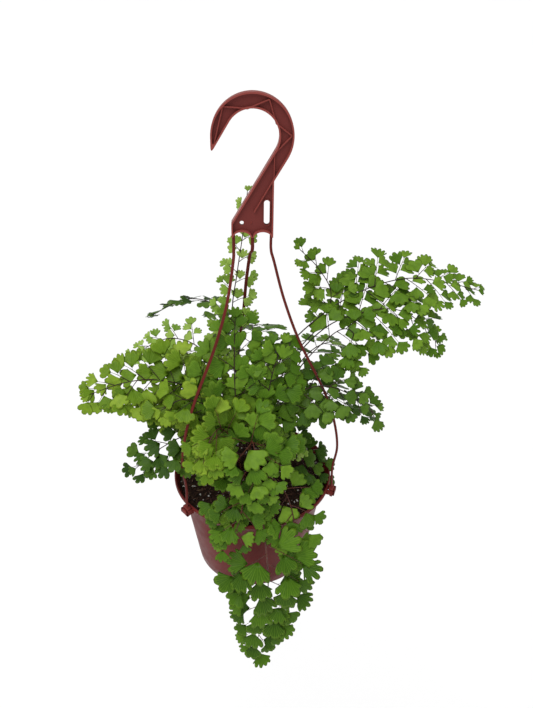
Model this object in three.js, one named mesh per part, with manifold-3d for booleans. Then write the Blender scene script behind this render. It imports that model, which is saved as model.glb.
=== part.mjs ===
// A maidenhair fern growing in a hanging plastic pot. The pot hangs from a one-piece moulded hanger: a
// ribbed hook on a small plate, with three thin legs that clip into lugs on the pot's rim.
// Millimetres, +Z up, +X to the right, +Y to the back. The origin is the inside top of the hook, where it
// bears on a rail. Everything is drawn round the centre of the pot's rim first, then lowered so that the
// hook's bearing point is at the origin.
import * as THREE from "three";
import { mergeVertices } from "three/addons/utils/BufferGeometryUtils.js";
import Module from "manifold-3d";

const wasm = await Module();
wasm.setup();

// ---------------------------------------------------------------- driving dimensions

const CLEARANCE = 0.3; // gap between pieces that touch

// Pot, measured from the top of its lip
const RIM_RADIUS = 75;
const POT_HEIGHT = 100;
const POT_WALL = 1.8;
const LIP_HEIGHT = 3;
const SHOULDER_DROP = 13; // from the lip's top down to where the flare meets the tapered body
const SHOULDER_RADIUS = 67.5;
const BASE_RADIUS = 54;
const FOOT_WIDTH = 4;
const FOOT_HEIGHT = 2;
const DRAIN_HOLES = 8;
const DRAIN_RADIUS = 3.5;
const DRAIN_CIRCLE = 34;

// Lugs on the rim and the clips that snap into them
const LEG_AZIMUTHS = [-18.75, -138.75, 101.25]; // degrees from +X
const LUG_WIDTH = 12;
const LUG_REACH = 8; // how far a lug stands out of the rim
const SLOT_OFFSET = 3.2; // rim to the middle of a lug's slot
const LUG_HEIGHT = 5;
const LUG_TOP_DROP = 1.5;
const SLOT_WIDTH = 4;
const SLOT_DEPTH = 3;
const STOP_WIDTH = 9;
const STOP_HEIGHT = 2;
const BARB_WIDTH = 6;
const BARB_HEIGHT = 4;

// Hanger
const HANGER_RISE = 238; // rim to the underside of the plate
const LEG_WIDTH = 3;
const PLATE_WIDTH = 32.5;
const PLATE_DEPTH = 8;
const HOOK_CENTRE_RISE = 75; // plate underside to the centre of the hook's curve
const HOOK_INNER_RADIUS = 19.4;
const HOOK_BAND = 11; // width of the hook between its inside and outside edges
const FLANGE = 1.8; // rails along both edges
const WEB = 2.4; // thin wall between the rails
const NECK_ANGLE = -31; // where the curve runs out into the straight neck, degrees
const TIP_ANGLE = 148; // where the inside curve runs out into the straight tip, degrees
const TIP_CUT = 5; // how much of the tip's sharp corner is rounded off
const LABEL_SLOT_RADIUS = 2.2;
const LABEL_SLOT_LOW = 10.5; // plate underside to the centre of the slot's lower round end
const LABEL_SLOT_HIGH = 26;
const LABEL_SLOT_BORDER = 1.2;
const HOLE_RADIUS = 1.7;
const HOLE_RISE = 10;
const ARCH_RISE = 3.5; // plate underside to the top of each arch between the legs
const ARCH_FOOT = 1; // how far below the plate's underside the arches are centred
const LEG_PAD = 1.4; // half the plate left standing between an arch and its neighbour
// Leg line between rim and plate: share of the hanger's rise, share of the clips' distance from the axis.
const LEG_BOW = [
  [0.1, 0.99],
  [0.21, 1.025],
  [0.34, 0.95],
  [0.46, 0.805],
  [0.63, 0.53],
  [0.78, 0.35],
];
const LEG_LAST_BOW = [0.87, 0.27]; // where the bow turns in to the straight run under the plate
const LEG_STRAIGHT = 12; // straight run under the plate
const LEG_ROOT = 3; // how far a leg runs up inside the plate
const RIB = 1.3;
const RIB_DEPTH = 7; // from rib edge to rib edge through the plate, a little less than its rails
const NECK_RIB_FROM = [14, 41]; // ends of the long rib down the neck, [right, above the plate's underside]
const NECK_RIB_TO = [2, 19];
const SHORT_RIB_LOW = 1;
const SHORT_RIB_HIGH = 9;
const TIP_RIB_OUT = 2; // where the first rib starts in the tip, out from the band's middle
const TIP_RIB_DROP = 4; // and below the hook's centre
const ZIGZAG_START = 133;
const ZIGZAG_STEP = 33.5;
const ZIGZAG_RIBS = 5;

// Soil and crown
const SOIL_DROP = 4; // rim to the soil's highest point
const SOIL_FALL = 3; // from the middle to the wall
const CROWN_RADIUS = 24;
const CROWN_HEIGHT = 6;

// Fern
const STALK_RADIUS = 0.8;
const SPRAY_HALF_WIDTH = 0.6;
const LEAFLET_THICKNESS = 0.8;
const SPREAD = RIM_RADIUS / 75; // stalk points below are drawn for a rim of radius 75 and open out with it

const SOIL_TOP = -SOIL_DROP;
const CLIP_RADIUS = RIM_RADIUS + SLOT_OFFSET; // distance from the pot's axis to a slot's middle
const HOOK_CENTRE = HANGER_RISE + HOOK_CENTRE_RISE;
const BEARING_HEIGHT = HOOK_CENTRE + HOOK_INNER_RADIUS;

// ---------------------------------------------------------------- materials

const plastic = (color) => new THREE.MeshStandardMaterial({ color, roughness: 0.5, metalness: 0 });
const living = (color) => new THREE.MeshStandardMaterial({ color, roughness: 0.6, metalness: 0 });

const LEAF_COLOURS = { bright: 0x7fae2e, mid: 0x4c8426, dark: 0x2f5a1c, pale: 0xa3c45c };

// ---------------------------------------------------------------- helpers

const radians = THREE.MathUtils.degToRad;
const vec = (x, y, z) => new THREE.Vector3(x, y, z);

// A closed geometry as a solid that can be joined and cut.
function solid(geometry) {
  const bare = geometry.clone();
  bare.deleteAttribute("normal");
  bare.deleteAttribute("uv");
  const merged = mergeVertices(bare, 1e-4);
  return new wasm.Manifold(
    new wasm.Mesh({
      numProp: 3,
      vertProperties: merged.attributes.position.array,
      triVerts: new Uint32Array(merged.index.array),
    }),
  );
}

function meshOf(name, body, material) {
  const made = body.getMesh();
  const geometry = new THREE.BufferGeometry();
  geometry.setAttribute("position", new THREE.BufferAttribute(new Float32Array(made.vertProperties), 3));
  geometry.setIndex(new THREE.BufferAttribute(new Uint32Array(made.triVerts), 1));
  geometry.computeVertexNormals();
  const mesh = new THREE.Mesh(geometry, material);
  mesh.name = name;
  return mesh;
}

const joined = (bodies) => wasm.Manifold.union(bodies);

// A profile of [radius, height] points turned about the Z axis.
function turned(profile, segments) {
  const points = profile.map(([r, z]) => new THREE.Vector2(r, z));
  return solid(new THREE.LatheGeometry(points, segments).rotateX(Math.PI / 2));
}

// An outline drawn in X and Z, given a thickness along Y and centred on it.
function slab(shape, thickness, curveSegments = 12) {
  const geometry = new THREE.ExtrudeGeometry(shape, { depth: thickness, bevelEnabled: false, curveSegments });
  return solid(geometry.translate(0, 0, -thickness / 2).rotateX(Math.PI / 2));
}

function block(width, depth, height, x, y, z) {
  return solid(new THREE.BoxGeometry(width, depth, height).translate(x, y, z));
}

// A body drawn on the +X side, turned to an azimuth round the pot.
const turnedTo = (body, azimuth) => body.rotate([0, 0, azimuth]);

function polygonShape(sides, radius) {
  const corners = [];
  for (let i = 0; i < sides; i++) {
    const angle = (2 * Math.PI * i) / sides;
    corners.push(new THREE.Vector2(radius * Math.cos(angle), radius * Math.sin(angle)));
  }
  return new THREE.Shape(corners);
}

// A rod of even section along a curve.
function rod(curve, section, steps) {
  return solid(new THREE.ExtrudeGeometry(section, { steps, extrudePath: curve }));
}

// The point at a share of a rod's length, on the straight stretch between two of its steps.
function onRod(curve, steps, share) {
  const step = Math.min(Math.floor(share * steps), steps - 1);
  const from = curve.getPointAt(step / steps);
  return from.lerp(curve.getPointAt((step + 1) / steps), share * steps - step);
}

const smoothCurve = (points) => new THREE.CatmullRomCurve3(points, false, "catmullrom", 0.5);

// ---------------------------------------------------------------- pot

// Inside radius of the pot at a height below the rim.
function potInside(z) {
  const taper = (SHOULDER_RADIUS - BASE_RADIUS) / (POT_HEIGHT - SHOULDER_DROP);
  if (z <= -SHOULDER_DROP) return SHOULDER_RADIUS - POT_WALL + (z + SHOULDER_DROP) * taper;
  const flare = (RIM_RADIUS - SHOULDER_RADIUS) / (SHOULDER_DROP - LIP_HEIGHT);
  return Math.min(RIM_RADIUS, SHOULDER_RADIUS + (z + SHOULDER_DROP) * flare) - POT_WALL;
}

function lug() {
  const middle = -LUG_TOP_DROP - LUG_HEIGHT / 2;
  const inner = RIM_RADIUS - POT_WALL / 2;
  const depth = RIM_RADIUS + LUG_REACH - inner;
  const bracket = block(depth, LUG_WIDTH, LUG_HEIGHT, inner + depth / 2, 0, middle);
  const slotDepth = SLOT_DEPTH + 2 * CLEARANCE;
  const slotWidth = SLOT_WIDTH + 2 * CLEARANCE;
  return bracket.subtract(block(slotDepth, slotWidth, 2 * LUG_HEIGHT, CLIP_RADIUS, 0, middle));
}

function pot() {
  const floor = -POT_HEIGHT + FOOT_HEIGHT;
  const shell = turned(
    [
      [0, floor],
      [BASE_RADIUS - FOOT_WIDTH, floor],
      [BASE_RADIUS - FOOT_WIDTH, -POT_HEIGHT],
      [BASE_RADIUS, -POT_HEIGHT],
      [SHOULDER_RADIUS, -SHOULDER_DROP],
      [RIM_RADIUS, -LIP_HEIGHT],
      [RIM_RADIUS, 0],
      [potInside(0), 0],
      [potInside(-LIP_HEIGHT), -LIP_HEIGHT],
      [potInside(-SHOULDER_DROP), -SHOULDER_DROP],
      [potInside(floor + POT_WALL), floor + POT_WALL],
      [0, floor + POT_WALL],
    ],
    36,
  );
  const drain = solid(
    new THREE.CylinderGeometry(DRAIN_RADIUS, DRAIN_RADIUS, 4 * POT_WALL, 12).rotateX(Math.PI / 2),
  ).translate([DRAIN_CIRCLE, 0, floor]);
  const drains = [];
  for (let i = 0; i < DRAIN_HOLES; i++) drains.push(turnedTo(drain, (360 * i) / DRAIN_HOLES));
  const lugs = LEG_AZIMUTHS.map((azimuth) => turnedTo(lug(), azimuth));
  return joined([shell, ...lugs]).subtract(joined(drains));
}

// ---------------------------------------------------------------- hanger

// Outline of the hook and plate, drawn inset from its edges: 0 for the whole moulding, more for its pockets.
function hookOutline(inset) {
  const centre = new THREE.Vector2(0, HOOK_CENTRE);
  const inner = HOOK_INNER_RADIUS + inset;
  const outer = HOOK_INNER_RADIUS + HOOK_BAND - inset;
  const side = PLATE_WIDTH / 2 - inset;
  const onCircle = (radius, degrees) => {
    const angle = radians(degrees);
    return new THREE.Vector2(Math.cos(angle), Math.sin(angle)).multiplyScalar(radius).add(centre);
  };
  // The height at which the tangent leaving a circle at an angle reaches a given x.
  const tangentAt = (radius, degrees, x) => {
    const start = onCircle(radius, degrees);
    return start.y - (x - start.x) / Math.tan(radians(degrees));
  };
  const tipX = -(HOOK_INNER_RADIUS + HOOK_BAND) + inset;
  const tip = new THREE.Vector2(tipX, tangentAt(inner, TIP_ANGLE, tipX));
  const tipInside = onCircle(inner, TIP_ANGLE).sub(tip).setLength(TIP_CUT).add(tip);

  const outline = new THREE.Shape();
  outline.moveTo(-side, HANGER_RISE + inset);
  outline.lineTo(side, HANGER_RISE + inset);
  outline.lineTo(side, tangentAt(outer, NECK_ANGLE, side));
  outline.absarc(centre.x, centre.y, outer, radians(NECK_ANGLE), Math.PI, false);
  outline.lineTo(tip.x, tip.y + TIP_CUT);
  outline.quadraticCurveTo(tip.x, tip.y, tipInside.x, tipInside.y);
  outline.absarc(centre.x, centre.y, inner, radians(TIP_ANGLE), radians(NECK_ANGLE), true);
  outline.lineTo(-side, tangentAt(inner, NECK_ANGLE, -side));
  return outline;
}

// A straight rib between two points in the X-Z plane.
function rib(from, to) {
  const along = to.clone().sub(from);
  const across = new THREE.Vector2(-along.y, along.x).setLength(RIB / 2);
  const corners = [
    from.clone().sub(across),
    to.clone().sub(across),
    to.clone().add(across),
    from.clone().add(across),
  ];
  return slab(new THREE.Shape(corners), RIB_DEPTH);
}

function hookRibs() {
  const middle = HOOK_INNER_RADIUS + HOOK_BAND / 2;
  const bite = HOOK_BAND / 2 - FLANGE / 2;
  const ribs = [];
  let last = new THREE.Vector2(-middle - TIP_RIB_OUT, HOOK_CENTRE - TIP_RIB_DROP);
  for (let i = 0; i <= ZIGZAG_RIBS; i++) {
    const angle = radians(ZIGZAG_START - ZIGZAG_STEP * i);
    const radius = middle + (i % 2 ? -bite : bite);
    const next = new THREE.Vector2(radius * Math.cos(angle), HOOK_CENTRE + radius * Math.sin(angle));
    ribs.push(rib(last, next));
    last = next;
  }
  // One long rib down the neck into the plate, and a short upright one over the middle leg.
  const onPlate = ([x, rise]) => new THREE.Vector2(x, HANGER_RISE + rise);
  ribs.push(rib(onPlate(NECK_RIB_FROM), onPlate(NECK_RIB_TO)));
  ribs.push(rib(onPlate([0, SHORT_RIB_LOW]), onPlate([0, SHORT_RIB_HIGH])));
  return ribs;
}

// Outline of the plate's label slot, grown by a border.
function labelSlot(border) {
  const radius = LABEL_SLOT_RADIUS + border;
  const x = PLATE_WIDTH / 2 - FLANGE - LABEL_SLOT_RADIUS - LABEL_SLOT_BORDER;
  const outline = new THREE.Shape();
  outline.absarc(x, HANGER_RISE + LABEL_SLOT_HIGH, radius, 0, Math.PI, false);
  outline.absarc(x, HANGER_RISE + LABEL_SLOT_LOW, radius, Math.PI, 2 * Math.PI, false);
  return outline;
}

// The plate's label slot, its round hole and the two arches between the legs.
function plateCuts() {
  const hole = new THREE.Shape();
  hole.absarc(-PLATE_WIDTH / 4, HANGER_RISE + HOLE_RISE, HOLE_RADIUS, 0, 2 * Math.PI, false);
  const cuts = [slab(labelSlot(0), 3 * PLATE_DEPTH, 8), slab(hole, 3 * PLATE_DEPTH, 12)];
  const archWidth = PLATE_WIDTH / 4 - LEG_PAD;
  const archHeight = ARCH_RISE + ARCH_FOOT;
  for (const sign of [-1, 1]) {
    const arch = new THREE.Shape();
    const archX = (sign * PLATE_WIDTH) / 4;
    arch.absellipse(archX, HANGER_RISE - ARCH_FOOT, archWidth, archHeight, 0, 2 * Math.PI, false);
    cuts.push(slab(arch, 3 * PLATE_DEPTH, 20));
  }
  return cuts;
}

// One leg: up from its clip, bowed out past the rim, then in to its place under the plate.
function leg(azimuth, plateX) {
  const angle = radians(azimuth);
  const at = (rise, out) => vec(out * Math.cos(angle), out * Math.sin(angle), rise);
  const bowed = LEG_BOW.map(([rise, out]) => at(rise * HANGER_RISE, out * CLIP_RADIUS));
  const points = [at(0, CLIP_RADIUS), ...bowed];
  const top = vec(plateX, 0, HANGER_RISE + LEG_ROOT);
  const under = vec(plateX, 0, HANGER_RISE - LEG_STRAIGHT);
  const [lastRise, lastOut] = LEG_LAST_BOW;
  const halfway = at(lastRise * HANGER_RISE, lastOut * CLIP_RADIUS).lerp(under, 0.5);
  const strip = rod(smoothCurve([...points, halfway, under, top]), polygonShape(5, LEG_WIDTH / 2), 16);
  return joined([strip, ...clip().map((piece) => turnedTo(piece, azimuth))]);
}

// The end of a leg: a stop above the lug, a tongue through its slot and a barb under it.
function clip() {
  const lugTop = -LUG_TOP_DROP;
  const lugFoot = lugTop - LUG_HEIGHT;
  const stopFoot = lugTop + CLEARANCE;
  const barbTop = lugFoot - CLEARANCE;
  const stop = block(SLOT_DEPTH + 2, STOP_WIDTH, STOP_HEIGHT, CLIP_RADIUS, 0, stopFoot + STOP_HEIGHT / 2);
  const tongueHeight = stopFoot - barbTop + 2;
  const tongue = block(SLOT_DEPTH, SLOT_WIDTH, tongueHeight, CLIP_RADIUS, 0, (stopFoot + barbTop) / 2);
  const arrow = new THREE.Shape();
  arrow.moveTo(-BARB_WIDTH / 2, barbTop);
  arrow.lineTo(-SLOT_WIDTH / 4, barbTop - BARB_HEIGHT);
  arrow.lineTo(SLOT_WIDTH / 4, barbTop - BARB_HEIGHT);
  arrow.lineTo(BARB_WIDTH / 2, barbTop);
  const barb = slab(arrow, SLOT_DEPTH).rotate([0, 0, 90]).translate([CLIP_RADIUS, 0, 0]);
  return [stop, tongue, barb];
}

function hanger() {
  const whole = slab(hookOutline(0), PLATE_DEPTH, 9);
  const pocket = slab(hookOutline(FLANGE), PLATE_DEPTH, 9);
  const sides = [-1, 1].map((sign) => pocket.translate([0, (sign * (WEB + PLATE_DEPTH)) / 2, 0]));
  const cuts = plateCuts();
  const slotBorder = slab(labelSlot(LABEL_SLOT_BORDER), RIB_DEPTH);
  const ribbed = joined([whole.subtract(joined(sides)), slotBorder, ...hookRibs()]).subtract(joined(cuts));
  const legX = PLATE_WIDTH / 2 - LEG_WIDTH / 2;
  const legPlaces = [legX, -legX, 0];
  return joined([ribbed, ...LEG_AZIMUTHS.map((azimuth, i) => leg(azimuth, legPlaces[i]))]);
}

// ---------------------------------------------------------------- soil and crown

function soil() {
  const foot = -POT_HEIGHT + FOOT_HEIGHT + POT_WALL + CLEARANCE;
  const edge = SOIL_TOP - SOIL_FALL;
  return turned(
    [
      [0, foot],
      [potInside(foot) - CLEARANCE, foot],
      [potInside(-SHOULDER_DROP) - CLEARANCE, -SHOULDER_DROP],
      [potInside(edge) - CLEARANCE, edge],
      [(potInside(edge) + CROWN_RADIUS) / 2, SOIL_TOP - SOIL_FALL / 3],
      [CROWN_RADIUS + 1, SOIL_TOP],
      [0, SOIL_TOP],
    ],
    36,
  );
}

// Height of the crown's domed top at a distance from the pot's axis.
function crownTop(radius) {
  const share = Math.min(1, radius / CROWN_RADIUS);
  return SOIL_TOP + CLEARANCE + CROWN_HEIGHT * Math.sqrt(1 - share * share);
}

function crown() {
  const profile = [[0, SOIL_TOP + CLEARANCE]];
  for (let i = 0; i <= 5; i++) {
    const radius = CROWN_RADIUS * Math.cos((Math.PI / 2) * (i / 5));
    profile.push([i === 5 ? 0 : radius, crownTop(radius)]);
  }
  return turned(profile, 20);
}

// ---------------------------------------------------------------- fern

// Each frond is a stalk through a few points, [right, back, up] from the rim's centre; the first is only
// [right, back], on the crown. Its blade starts at a share of the stalk, with side sprays that alternate
// left and right, each carrying fan-shaped leaflets.
// sprays: how many; lowest: how long the lowest ones are, as a share of the longest, reach; leaflet: the
// largest leaflet's length; face: the way the blade looks; droop: how far a spray's end hangs, as a share
// of its length.
const FRONDS = [
  {
    name: "frond_left",
    tone: "bright",
    stalk: [
      [-10, -6],
      [-27, -12, 62],
      [-52, -15, 102],
      [-82, -20, 116],
      [-109, -25, 116],
      [-137, -30, 108],
    ],
    blade: 0.4,
    sprays: 13,
    lowest: 0.9,
    reach: 33,
    leaflet: 17,
    droop: 0.15,
    face: [0.0, -0.8, 0.6],
  },
  {
    name: "frond_back_left",
    tone: "dark",
    stalk: [
      [-6, 9],
      [-14, 34, 75],
      [-28, 58, 138],
      [-58, 68, 150],
      [-96, 75, 130],
    ],
    blade: 0.5,
    sprays: 7,
    lowest: 0.8,
    reach: 26,
    leaflet: 15,
    droop: 0.15,
    face: [0.0, 0.35, 1.0],
  },
  {
    name: "frond_left_young",
    tone: "pale",
    stalk: [
      [-14, 3],
      [-24, 14, 62],
      [-42, 25, 114],
      [-74, 31, 128],
      [-112, 35, 108],
    ],
    blade: 0.46,
    sprays: 10,
    lowest: 0.9,
    reach: 24,
    leaflet: 9.5,
    droop: 0.15,
    face: [-0.1, -0.6, 0.7],
  },
  {
    name: "frond_tall_young",
    tone: "pale",
    stalk: [
      [-3, 11],
      [-13, 22, 78],
      [-18, 30, 150],
      [-13, 33, 192],
      [-8, 35, 226],
      [-4, 35, 262],
    ],
    blade: 0.5,
    sprays: 10,
    lowest: 0.9,
    reach: 16,
    leaflet: 9,
    droop: 0.15,
    face: [0.0, -1.0, 0.3],
  },
  {
    name: "frond_right_high",
    tone: "mid",
    stalk: [
      [8, 3],
      [14, 5, 62],
      [26, 8, 122],
      [58, 19, 156],
      [96, 30, 176],
      [134, 38, 184],
      [170, 44, 178],
      [203, 48, 168],
    ],
    blade: 0.62,
    sprays: 9,
    lowest: 0.9,
    reach: 34,
    leaflet: 13,
    droop: 0.15,
    face: [0.1, -0.5, 0.85],
  },
  {
    name: "frond_right_low",
    tone: "mid",
    stalk: [
      [14, -1],
      [18, 0, 60],
      [32, 2, 114],
      [62, 9, 150],
      [96, 13, 164],
      [125, 17, 164],
      [150, 20, 148],
      [166, 20, 128],
    ],
    blade: 0.6,
    sprays: 8,
    lowest: 0.9,
    reach: 36,
    leaflet: 14,
    droop: 0.15,
    face: [0.1, -0.6, 0.8],
  },
  {
    name: "frond_right",
    tone: "dark",
    stalk: [
      [12, -6],
      [18, -15, 54],
      [32, -23, 98],
      [58, -29, 116],
      [84, -32, 108],
      [104, -35, 92],
    ],
    blade: 0.45,
    sprays: 8,
    lowest: 0.9,
    reach: 28,
    leaflet: 14,
    droop: 0.15,
    face: [0.1, -0.6, 0.8],
  },
  {
    name: "frond_front_upright",
    tone: "mid",
    stalk: [
      [-4, -7],
      [-10, -22, 60],
      [-14, -30, 100],
      [-15, -24, 140],
      [-14, -14, 172],
    ],
    blade: 0.3,
    sprays: 9,
    lowest: 0.6,
    reach: 42,
    leaflet: 18,
    droop: 0.15,
    face: [0.0, -1.0, 0.3],
  },
  {
    name: "frond_front_left",
    tone: "bright",
    stalk: [
      [-9, -10],
      [-17, -34, 60],
      [-26, -54, 90],
      [-34, -66, 88],
      [-40, -78, 72],
    ],
    blade: 0.36,
    sprays: 9,
    lowest: 0.9,
    reach: 31,
    leaflet: 18,
    droop: 0.15,
    face: [0.0, -0.75, 0.65],
  },
  {
    name: "frond_front_middle",
    tone: "mid",
    stalk: [
      [0, -11],
      [-2, -36, 54],
      [0, -58, 80],
      [4, -74, 70],
      [8, -84, 46],
    ],
    blade: 0.3,
    sprays: 10,
    lowest: 0.9,
    reach: 36,
    leaflet: 18,
    droop: 0.15,
    face: [0.0, -0.75, 0.65],
  },
  {
    name: "frond_left_near",
    tone: "bright",
    stalk: [
      [-12, -7],
      [-22, -22, 56],
      [-38, -32, 96],
      [-58, -38, 108],
      [-76, -42, 100],
    ],
    blade: 0.42,
    sprays: 7,
    lowest: 0.8,
    reach: 26,
    leaflet: 18,
    droop: 0.15,
    face: [-0.1, -0.8, 0.6],
  },
  {
    name: "frond_right_near",
    tone: "mid",
    stalk: [
      [5, -8],
      [8, -20, 58],
      [13, -28, 104],
      [18, -26, 132],
      [26, -18, 150],
    ],
    blade: 0.4,
    sprays: 8,
    lowest: 0.8,
    reach: 30,
    leaflet: 17,
    droop: 0.15,
    face: [0.1, -0.9, 0.5],
  },
  {
    name: "frond_lower_left",
    tone: "dark",
    stalk: [
      [-14, -9],
      [-32, -22, 42],
      [-54, -32, 66],
      [-80, -40, 58],
      [-102, -45, 40],
    ],
    blade: 0.42,
    sprays: 7,
    lowest: 0.9,
    reach: 26,
    leaflet: 15,
    droop: 0.15,
    face: [0.0, -0.5, 0.85],
  },
  {
    name: "frond_front_short",
    tone: "mid",
    stalk: [
      [-6, -14],
      [-8, -44, 26],
      [-8, -72, 26],
      [-14, -88, 8],
      [-27, -92, -4],
    ],
    blade: 0.5,
    sprays: 5,
    lowest: 0.9,
    reach: 20,
    leaflet: 15,
    droop: 0.15,
    face: [0.0, -0.85, 0.5],
  },
  {
    name: "frond_front_right",
    tone: "mid",
    stalk: [
      [6, -13],
      [18, -42, 26],
      [30, -66, 26],
      [36, -78, 6],
      [36, -82, -26],
    ],
    blade: 0.45,
    sprays: 6,
    lowest: 0.9,
    reach: 22,
    leaflet: 15,
    droop: 0.15,
    face: [0.1, -0.85, 0.5],
  },
  {
    name: "frond_trailing",
    tone: "mid",
    stalk: [
      [2, -14],
      [5, -48, 28],
      [8, -78, 20],
      [12, -90, -14],
      [14, -92, -60],
      [10, -90, -104],
      [2, -86, -154],
    ],
    blade: 0.4,
    sprays: 8,
    lowest: 0.9,
    reach: 32,
    leaflet: 19,
    droop: 0.1,
    face: [0.0, -0.8, 0.6],
  },
  {
    name: "frond_right_low_dark",
    tone: "dark",
    stalk: [
      [14, -4],
      [28, -8, 26],
      [44, -8, 30],
      [60, -10, 14],
      [66, -12, 0],
    ],
    blade: 0.4,
    sprays: 5,
    lowest: 0.9,
    reach: 20,
    leaflet: 14,
    droop: 0.15,
    face: [0.1, -0.4, 0.9],
  },
  {
    name: "frond_young_middle",
    tone: "pale",
    stalk: [
      [9, -8],
      [14, -18, 30],
      [22, -26, 52],
      [34, -28, 50],
      [44, -26, 40],
    ],
    blade: 0.45,
    sprays: 6,
    lowest: 0.9,
    reach: 13,
    leaflet: 8,
    droop: 0.15,
    face: [0.0, -0.6, 0.8],
  },
  {
    name: "frond_back",
    tone: "mid",
    stalk: [
      [0, 12],
      [0, 36, 62],
      [0, 66, 98],
      [0, 100, 104],
      [0, 134, 84],
    ],
    blade: 0.4,
    sprays: 8,
    lowest: 0.9,
    reach: 36,
    leaflet: 16,
    droop: 0.15,
    face: [0.0, 0.3, 1.0],
  },
  {
    name: "frond_back_right",
    tone: "mid",
    stalk: [
      [8, 9],
      [26, 32, 60],
      [52, 60, 92],
      [80, 88, 92],
      [106, 112, 70],
    ],
    blade: 0.4,
    sprays: 7,
    lowest: 0.9,
    reach: 34,
    leaflet: 16,
    droop: 0.15,
    face: [0.2, 0.2, 1.0],
  },
  {
    name: "frond_back_far_left",
    tone: "dark",
    stalk: [
      [-9, 8],
      [-30, 34, 48],
      [-56, 62, 72],
      [-84, 88, 66],
      [-110, 108, 40],
    ],
    blade: 0.4,
    sprays: 7,
    lowest: 0.9,
    reach: 34,
    leaflet: 16,
    droop: 0.15,
    face: [-0.2, 0.2, 1.0],
  },
  {
    name: "frond_right_back",
    tone: "dark",
    stalk: [
      [13, 4],
      [36, 16, 46],
      [64, 28, 68],
      [94, 38, 60],
      [118, 44, 36],
    ],
    blade: 0.4,
    sprays: 7,
    lowest: 0.9,
    reach: 30,
    leaflet: 15,
    droop: 0.15,
    face: [0.2, 0.0, 1.0],
  },
  {
    name: "frond_back_low",
    tone: "mid",
    stalk: [
      [4, 13],
      [14, 44, 30],
      [20, 72, 30],
      [24, 92, 4],
      [26, 100, -34],
    ],
    blade: 0.42,
    sprays: 6,
    lowest: 0.9,
    reach: 26,
    leaflet: 15,
    droop: 0.15,
    face: [0.0, 0.8, 0.5],
  },
  {
    name: "frond_right_inner",
    tone: "mid",
    stalk: [
      [11, 5],
      [18, 9, 60],
      [32, 14, 112],
      [62, 22, 150],
      [68, 26, 176],
      [56, 28, 198],
      [40, 30, 214],
    ],
    blade: 0.66,
    sprays: 7,
    lowest: 0.9,
    reach: 18,
    leaflet: 12,
    droop: 0.15,
    face: [0.0, -0.6, 0.8],
  },
  {
    name: "frond_right_hanging",
    tone: "mid",
    stalk: [
      [16, 2],
      [24, 6, 58],
      [40, 6, 108],
      [68, 4, 146],
      [82, 0, 154],
      [88, -4, 144],
      [88, -6, 122],
    ],
    blade: 0.72,
    sprays: 5,
    lowest: 0.9,
    reach: 20,
    leaflet: 15,
    droop: 0.15,
    face: [0.0, -0.75, 0.65],
  },
  {
    name: "frond_low_middle",
    tone: "mid",
    stalk: [
      [-6, -12],
      [-12, -34, 26],
      [-18, -54, 34],
      [-20, -66, 22],
      [-22, -74, 6],
    ],
    blade: 0.32,
    sprays: 7,
    lowest: 0.9,
    reach: 26,
    leaflet: 17,
    droop: 0.15,
    face: [0.0, -0.7, 0.7],
  },
];

const STALK_STEPS = 8;
const SPRAY_ANGLE = 62; // between the stalk and the lowest sprays, degrees
const SPRAY_ANGLE_LOSS = 28; // how much less it is at the blade's tip
const LEAFLET_SPACING = 1.6; // along a spray, as a share of a leaflet's length
const STALK_TURNS = [0, 4, -4, 8, -8, 12, -12, 16, -16]; // degrees round the pot
const SPRAY_TURNS = [0, 12, -12, 24, -24];
const SPRAY_TILTS = [0, 20, -20, 40, -40];
const SPRAY_SIZES = [1, 0.75, 0.5];

// Solids already in place, each with its name.
const placed = [];

function boxOf(body) {
  const { min, max } = body.boundingBox();
  return new THREE.Box3(vec(...min), vec(...max));
}

function place(body, name) {
  placed.push({ body, name, box: boxOf(body) });
  return body;
}

// Whether a body is clear of everything in place except the piece it grows from.
function isClear(body, grownFrom) {
  const box = boxOf(body);
  const others = placed.filter((other) => other.name !== grownFrom && other.box.intersectsBox(box));
  return others.every((other) => other.body.intersect(body).isEmpty());
}

// A growing part turns aside from what is already there: this places the first of several ways to make it
// that stays clear, tested with the clearance added all round. It gives null when there is no room.
function placeFirstClear(ways, make, name, grownFrom) {
  const way = ways.find((choice) => isClear(make(choice, CLEARANCE), grownFrom));
  return way === undefined ? null : place(make(way, 0), name);
}

// The direction the blade looks, squared to the way it grows.
function squared(face, along) {
  return face.clone().addScaledVector(along, -face.dot(along)).normalize();
}

function stalkPoints(frond, turn) {
  const upright = vec(0, 0, 1);
  return frond.stalk.map(([x, y, z]) => {
    const foot = crownTop(Math.hypot(x, y)) + CLEARANCE + STALK_RADIUS;
    const point = z === undefined ? vec(x, y, foot) : vec(x * SPREAD, y * SPREAD, z);
    return point.applyAxisAngle(upright, radians(turn));
  });
}

// The side sprays of a frond: where each leaves the stalk, at what angle and how long it is.
function spraysOf(frond) {
  const sprays = [];
  for (let i = 0; i < frond.sprays; i++) {
    const share = (i + 0.5) / frond.sprays;
    const side = i % 2 ? 1 : -1;
    const swell = Math.min(1, frond.lowest + 2.2 * share) * (1 - share) ** 0.7 + 0.12;
    sprays.push({
      at: frond.blade + (1 - frond.blade) * share,
      angle: side * (SPRAY_ANGLE - SPRAY_ANGLE_LOSS * share),
      length: frond.reach * swell,
    });
  }
  return sprays;
}

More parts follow.
